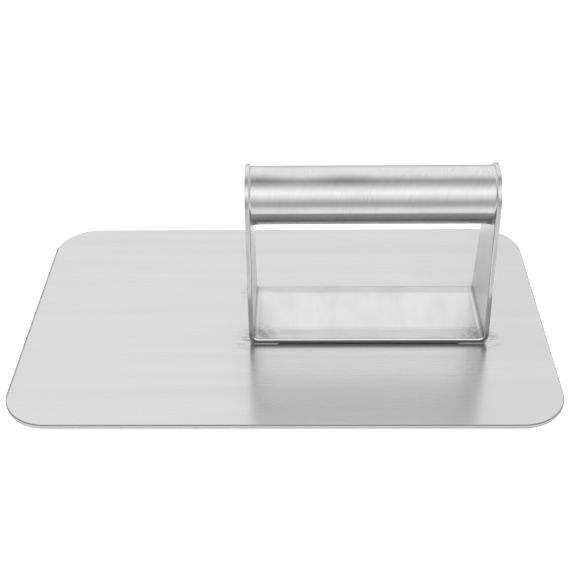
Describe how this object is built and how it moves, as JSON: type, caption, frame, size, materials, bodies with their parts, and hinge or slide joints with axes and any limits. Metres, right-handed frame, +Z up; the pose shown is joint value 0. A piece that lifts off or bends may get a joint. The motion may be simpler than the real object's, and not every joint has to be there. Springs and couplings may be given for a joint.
{
  "type": "bacon press",
  "caption": "Flat rounded steel plate that holds food down on a griddle, lifted by a tube handle between the ears of a bent strap welded off centre.",
  "frame": {"origin": "centre of the plate's flat underside, which is the face that rests on the food or the griddle", "axes": "+X along the plate's length towards the end that the handle stands nearer to, +Y across the plate away from the user, +Z up"},
  "size_m": [0.305, 0.19, 0.1049],
  "materials": {
    "brushed_plate": "stainless sheet, straight fine brushing along the plate's length",
    "brushed_strap": "stainless strap, fine brushing with cleaning and grinding marks in the corners",
    "satin_tube": "stainless tube, satin belt finish with faint lines round it",
    "weld_bead": "stainless weld bead, rippled and dressed smooth in places"
  },
  "bodies": {
    "root": {"base_plate": "brushed_plate", "handle_bracket": "brushed_strap", "grip_tube": "satin_tube", "grip_weld_left": "weld_bead", "grip_weld_right": "weld_bead", "foot_weld_front_left": "weld_bead", "foot_weld_front_right": "weld_bead", "foot_weld_rear_left": "weld_bead", "foot_weld_rear_right": "weld_bead"}
  },
  "joints": []
}
